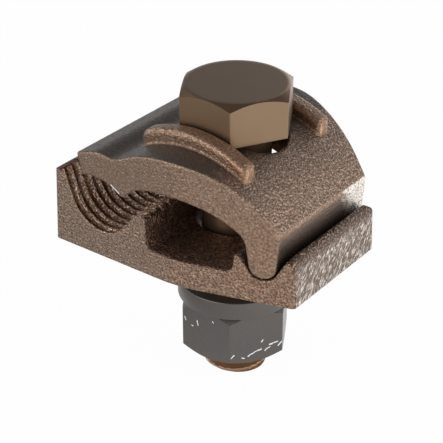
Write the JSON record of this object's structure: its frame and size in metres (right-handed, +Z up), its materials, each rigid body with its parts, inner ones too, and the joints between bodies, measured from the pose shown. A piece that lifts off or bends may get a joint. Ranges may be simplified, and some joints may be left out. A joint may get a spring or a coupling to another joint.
{
  "type": "grounding clamp",
  "caption": "Bronze cable-to-bar grounding clamp: serrated cable seat, hooked arched keeper and one through bolt with lock washer and nut that grips a flat bar.",
  "frame": {"origin": "where the bolt axis meets the flat underside of the lower casting, the face that lies on the bar", "axes": "+Z up along the bolt towards its head, +X from the cable seat towards the hook and lip, +Y along the cable away from the front face"},
  "size_m": [0.0495, 0.0384, 0.0587],
  "materials": {
    "cast_bronze": "sand cast, dull and grainy",
    "bolt_bronze": "forged, satin brown",
    "dark_bronze": "dark satin grey"
  },
  "bodies": {
    "base": {"base_jaw": "cast_bronze"},
    "keeper": {"keeper": "cast_bronze"},
    "bolt": {"bolt": "bolt_bronze"},
    "washer": {"lock_washer": "dark_bronze"},
    "nut": {"hex_nut": "dark_bronze"}
  },
  "joints": [
    {"name": "keeper_tilt", "type": "hinge", "parent": "base", "child": "keeper", "pos_m": [0.01605, 0, 0.0075], "axis": [0, 1, 0], "range_deg": [-10, 10]},
    {"name": "bolt_slide", "type": "slide", "parent": "base", "child": "bolt", "axis": [0, 0, 1], "range_m": [-0.00285, 0.00285]},
    {"name": "washer_slide", "type": "slide", "parent": "bolt", "child": "washer", "axis": [0, 0, 1], "range_m": [-0.0047, 0.0036]},
    {"name": "nut_turn", "type": "hinge", "parent": "washer", "child": "nut", "pos_m": [0, 0, -0.016], "axis": [0, 0, 1], "range_deg": [-880, 680]}
  ],
  "couplings": [
    {"joint": "keeper_tilt", "follows": "bolt_slide", "rad_per_m": 60.79},
    {"joint": "nut_turn", "follows": "washer_slide", "rad_per_m": 3215.8}
  ]
}
